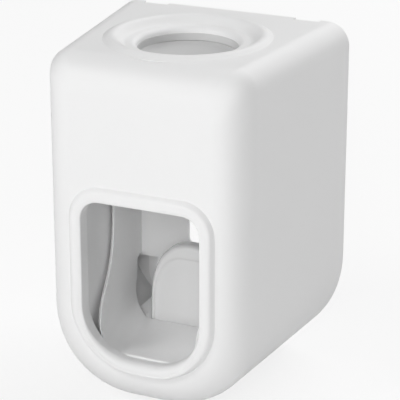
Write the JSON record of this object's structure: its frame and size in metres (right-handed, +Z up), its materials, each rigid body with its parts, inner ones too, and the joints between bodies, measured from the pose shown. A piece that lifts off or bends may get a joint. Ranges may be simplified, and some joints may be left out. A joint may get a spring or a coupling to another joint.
{
  "type": "toothpaste dispenser",
  "caption": "Wall-mounted toothpaste dispenser: tube collar on top, framed brush window, and a push pad on a sprung lever that works a piston pump.",
  "frame": {"origin": "middle of the flat rear face, in the plane of the wall", "axes": "+Y into the wall, +Z up; the window looks along -Y, and +X is on the right of someone who looks at the window"},
  "size_m": [0.066, 0.0568, 0.0926],
  "materials": {
    "shell_white": "satin",
    "inner_white": "satin",
    "pad_gloss": "gloss",
    "pump_plastic": "satin",
    "soft_silicone": "matte",
    "dark_rubber": "matte",
    "steel": "satin"
  },
  "bodies": {
    "body": {"housing": "shell_white", "rear_cover": "shell_white", "brush_chute": "inner_white", "lever_pin": "steel", "pin_clips": "steel", "pump_deck": "pump_plastic", "pump_body": "pump_plastic", "inlet_plate": "pump_plastic", "inlet_valve": "soft_silicone", "outlet_valve": "soft_silicone", "nozzle_cap": "pump_plastic", "tube_seat": "soft_silicone", "seat_ring": "pump_plastic", "barrel_cap": "pump_plastic", "return_spring": "steel", "stop_bumpers": "dark_rubber", "deck_screws": "steel", "pump_screws": "steel", "chute_screws": "steel", "cover_screws": "steel"},
    "lever": {"push_pad": "pad_gloss", "push_lever": "inner_white"},
    "piston": {"piston": "pump_plastic", "piston_seal": "dark_rubber", "piston_pin": "steel"}
  },
  "joints": [
    {"name": "lever_swing", "type": "hinge", "parent": "body", "child": "lever", "pos_m": [0, -0.015, 0.0025], "axis": [1, 0, 0], "range_deg": [0, 14], "stiffness_Nm_per_rad": 0.25, "springref_deg": -17.19},
    {"name": "piston_slide", "type": "slide", "parent": "body", "child": "piston", "axis": [0, -1, 0], "range_m": [0, 0.00412], "deforming": ["return_spring"]}
  ],
  "couplings": [
    {"joint": "piston_slide", "follows": "lever_swing", "m_per_rad": 0.01679}
  ]
}
